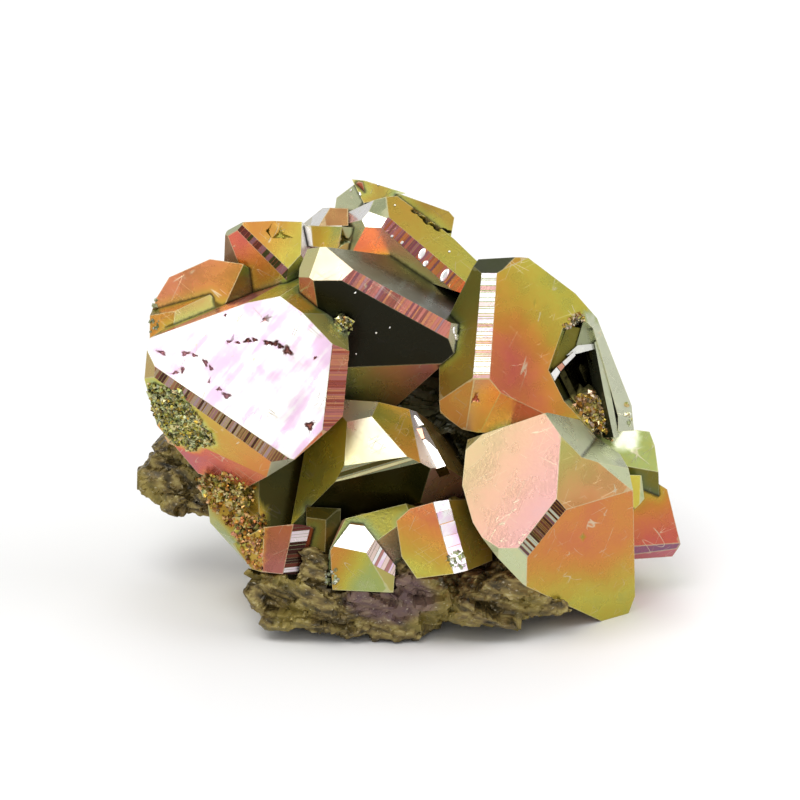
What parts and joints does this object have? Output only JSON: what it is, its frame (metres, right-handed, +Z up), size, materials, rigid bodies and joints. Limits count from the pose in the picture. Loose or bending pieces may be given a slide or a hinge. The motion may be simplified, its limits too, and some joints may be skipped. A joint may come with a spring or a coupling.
{
  "type": "chalcopyrite on pyrite mineral specimen",
  "caption": "Hand specimen of intergrown pyrite octahedra with an iridescent chalcopyrite skin, on broken massive pyrite, resting on its flat underside.",
  "frame": {"origin": "centre of the bounding box at the level of the flat underside", "axes": "+Z up, +X to the viewer's right along the long way of the specimen, the display side faces -Y"},
  "size_m": [0.06, 0.0404, 0.0445],
  "materials": {
    "iridescent_crystal": "bright metallic crystal faces with a pink, orange and olive tarnish film",
    "massive_pyrite": "broken, uneven, dull metallic",
    "druse": "fine sparkling crystals"
  },
  "bodies": {
    "root": {"crystal_cluster": "iridescent_crystal", "matrix": "massive_pyrite", "vug_crust": "druse"}
  },
  "joints": []
}
